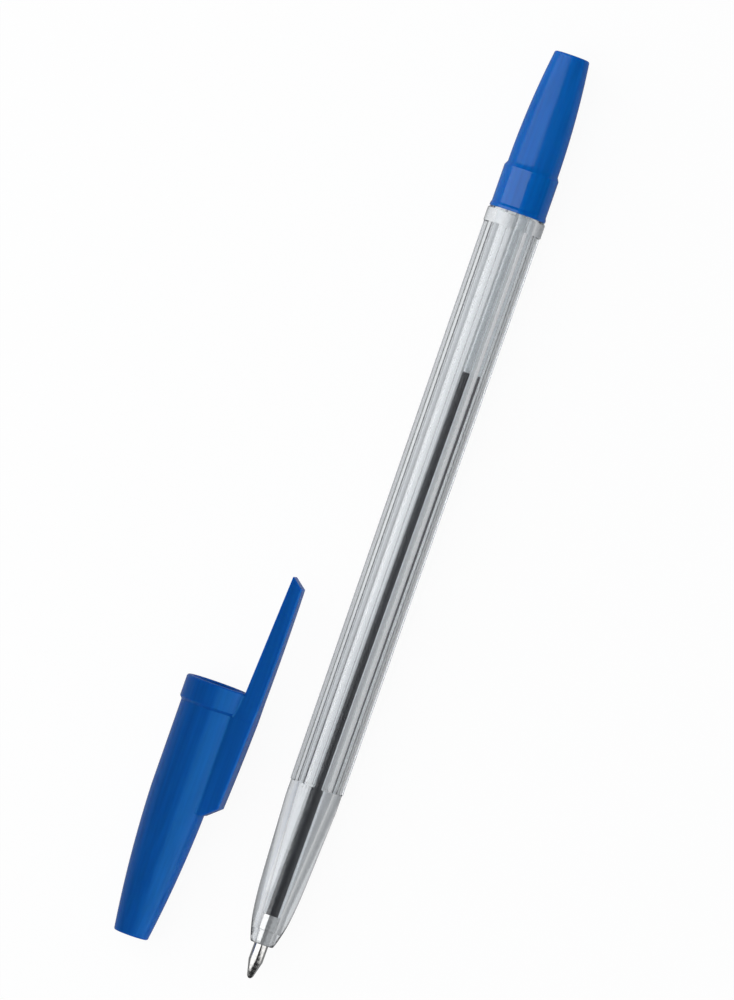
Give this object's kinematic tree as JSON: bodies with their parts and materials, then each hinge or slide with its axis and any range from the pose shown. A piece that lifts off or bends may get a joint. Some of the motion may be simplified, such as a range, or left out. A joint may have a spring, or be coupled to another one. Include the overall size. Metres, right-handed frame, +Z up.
{
  "type": "stick ballpoint pen",
  "caption": "Stick ballpoint pen with a clear hexagonal barrel, a visible ink refill, a blue end plug and a blue clip cap lying beside it.",
  "frame": {"origin": "on the table, under the middle of the pen and cap together", "axes": "+Y from the writing point to the plug along the pen, +Z up from the table, +X from the cap towards the pen"},
  "size_m": [0.0284, 0.1465, 0.01],
  "materials": {
    "clear_styrene": "clear moulded polystyrene, polished",
    "blue_polypropylene": "moulded polypropylene, glossy, a little translucent",
    "natural_polypropylene": "extruded, milky and translucent",
    "paste_ink": "dark blue paste, wet",
    "nickel_silver": "turned, bright",
    "hard_ball": "lapped"
  },
  "bodies": {
    "barrel": {"barrel": "clear_styrene"},
    "end_plug": {"end_plug": "blue_polypropylene"},
    "cap": {"cap": "blue_polypropylene"},
    "refill": {"refill_tube": "natural_polypropylene", "ink_column": "paste_ink", "point_body": "nickel_silver"},
    "writing_ball": {"writing_ball": "hard_ball"}
  },
  "joints": [
    {"name": "cap_pull", "type": "slide", "parent": "barrel", "child": "cap", "axis": [0, -1, 0], "range_m": [0, 0.041]},
    {"name": "plug_pull", "type": "slide", "parent": "barrel", "child": "end_plug", "axis": [0, 1, 0], "range_m": [0, 0.16]},
    {"name": "refill_draw", "type": "slide", "parent": "barrel", "child": "refill", "axis": [0, 1, 0], "range_m": [0, 0.128]},
    {"name": "ball_roll", "type": "hinge", "parent": "refill", "child": "writing_ball", "pos_m": [0.00963, -0.07285, 0.00453], "axis": [1, 0, 0], "continuous": true}
  ],
  "couplings": [
    {"joint": "refill_draw", "follows": "plug_pull", "ratio": 0.8}
  ]
}
